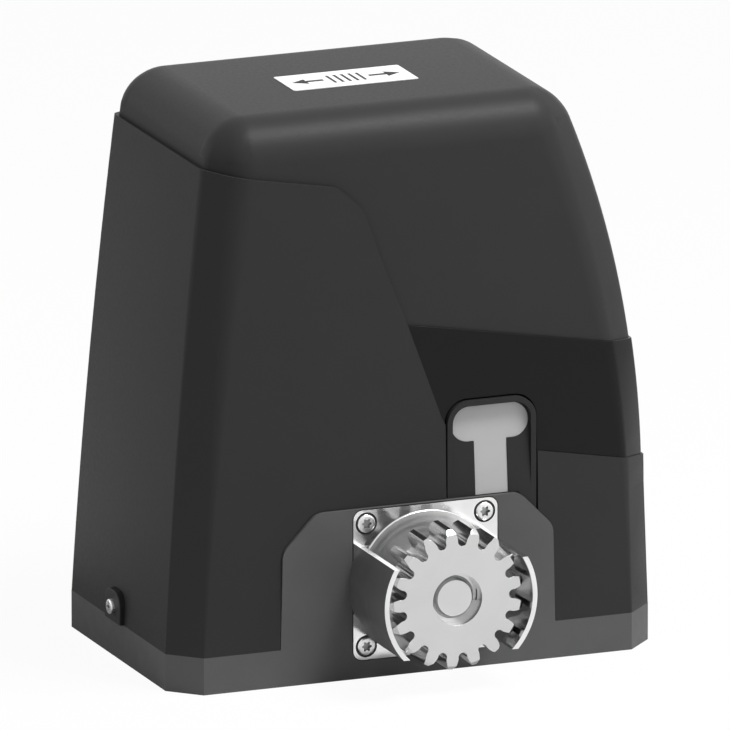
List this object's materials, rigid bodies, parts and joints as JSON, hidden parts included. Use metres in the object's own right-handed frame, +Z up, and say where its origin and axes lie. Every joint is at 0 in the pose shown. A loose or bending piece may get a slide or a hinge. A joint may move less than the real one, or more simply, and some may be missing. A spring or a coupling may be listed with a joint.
{
  "type": "sliding gate motor",
  "caption": "Tall hooded electric opener for a sliding gate: a guarded rack pinion on the front, a worm gear motor inside, a release lever behind.",
  "frame": {"origin": "centre of the base's underside, which is the centre of the four mounting slots", "axes": "+Z up, +X along the gate's travel to the right seen from the pinion side, -Y out of the pinion side towards the rack"},
  "size_m": [0.2808, 0.2333, 0.3024],
  "materials": {
    "base_casting": "satin dark grey paint on a die casting",
    "bare_casting": "as-cast, slightly matt",
    "bright_steel": "polished plating",
    "gear_steel": "finely machined, zinc plated",
    "shaft_steel": "turned and ground",
    "screw_steel": "zinc plated",
    "spring_steel": "oiled spring steel",
    "bearing_steel": "polished rings",
    "bronze": "machined bronze",
    "lamination": "varnished laminations",
    "copper_winding": "enamelled copper wire",
    "seal_rubber": "matt rubber",
    "gasket_paper": "oiled paper",
    "lever_plastic": "smooth black moulding",
    "lock_metal": "plated lock body",
    "lock_brass": "machined brass",
    "bracket_plastic": "fine matt moulding",
    "nylon": "natural nylon",
    "circuit_board": "solder resist",
    "terminal_plastic": "moulded terminal body",
    "relay_plastic": "moulded relay case",
    "coil_tape": "insulating tape",
    "capacitor_case": "moulded can",
    "cover_plastic": "fine satin moulding grain",
    "band_plastic": "smooth gloss insert",
    "tab_plastic": "matt moulding",
    "label_white": "plain white film",
    "switch_plastic": "fine satin moulding",
    "sensor_grey": "light grey moulding"
  },
  "bodies": {
    "root": {"base_casting": "base_casting", "gear_case": "bare_casting", "gear_case_lid": "bare_casting", "output_flange": "bright_steel", "flange_screws": "screw_steel", "lid_screws": "screw_steel", "case_bolts": "screw_steel", "motor_bolts": "screw_steel", "cover_screws": "screw_steel", "levelling_screws": "screw_steel", "front_bearing": "bearing_steel", "rear_bearing": "bearing_steel", "worm_lower_bearing": "bearing_steel", "worm_upper_bearing": "bearing_steel", "rotor_top_bearing": "bearing_steel", "output_seal": "seal_rubber", "case_gasket": "gasket_paper", "cable_grommet": "seal_rubber", "lock_barrel": "lock_metal", "motor_lower_shield": "bare_casting", "motor_upper_shield": "bare_casting", "stator_core": "lamination", "stator_windings": "copper_winding", "board_bracket": "bracket_plastic", "board_standoffs": "nylon", "control_board": "circuit_board", "terminal_blocks": "terminal_plastic", "board_relays": "relay_plastic", "transformer_core": "lamination", "transformer_coil": "coil_tape", "run_capacitor": "capacitor_case", "capacitor_clamp": "bracket_plastic", "cover": "cover_plastic", "accent_band": "band_plastic", "side_tab_left": "tab_plastic", "side_tab_right": "tab_plastic", "label_plate": "label_white", "limit_switch_housing": "switch_plastic", "limit_sensor_face": "sensor_grey"},
    "output": {"output_shaft": "shaft_steel", "pinion": "gear_steel", "pinion_key": "shaft_steel", "wheel_circlip": "spring_steel", "clutch_springs": "spring_steel"},
    "wheel": {"worm_wheel": "bronze", "wheel_bush": "bronze"},
    "clutch": {"clutch_cone": "shaft_steel", "clutch_pin": "shaft_steel", "release_rod": "shaft_steel"},
    "rotor": {"worm_shaft": "shaft_steel", "rotor_core": "lamination"},
    "lever": {"release_lever": "lever_plastic", "release_spindle": "shaft_steel"},
    "lock": {"lock_plug": "lock_brass"}
  },
  "joints": [
    {"name": "rotor_spin", "type": "hinge", "parent": "root", "child": "rotor", "pos_m": [-0.042, -0.012, 0.16], "axis": [0, 0, 1], "continuous": true},
    {"name": "output_spin", "type": "hinge", "parent": "root", "child": "output", "pos_m": [0.004, 0, 0.0505], "axis": [0, 1, 0], "continuous": true},
    {"name": "wheel_spin", "type": "hinge", "parent": "root", "child": "wheel", "pos_m": [0.004, -0.012, 0.0505], "axis": [0, 1, 0], "continuous": true},
    {"name": "lever_turn", "type": "hinge", "parent": "root", "child": "lever", "pos_m": [0.004, 0.09, 0.0505], "axis": [0, -1, 0], "range_deg": [0, 90]},
    {"name": "clutch_slide", "type": "slide", "parent": "output", "child": "clutch", "axis": [0, -1, 0], "range_m": [0, 0.003], "deforming": ["clutch_springs"]},
    {"name": "lock_turn", "type": "hinge", "parent": "root", "child": "lock", "pos_m": [-0.026, 0.08, 0.074], "axis": [0, 1, 0], "range_deg": [0, 90]}
  ],
  "couplings": [
    {"joint": "output_spin", "follows": "rotor_spin", "ratio": -0.035714},
    {"joint": "wheel_spin", "follows": "rotor_spin", "ratio": -0.035714},
    {"joint": "lever_turn", "follows": "clutch_slide", "rad_per_m": 523.5}
  ]
}
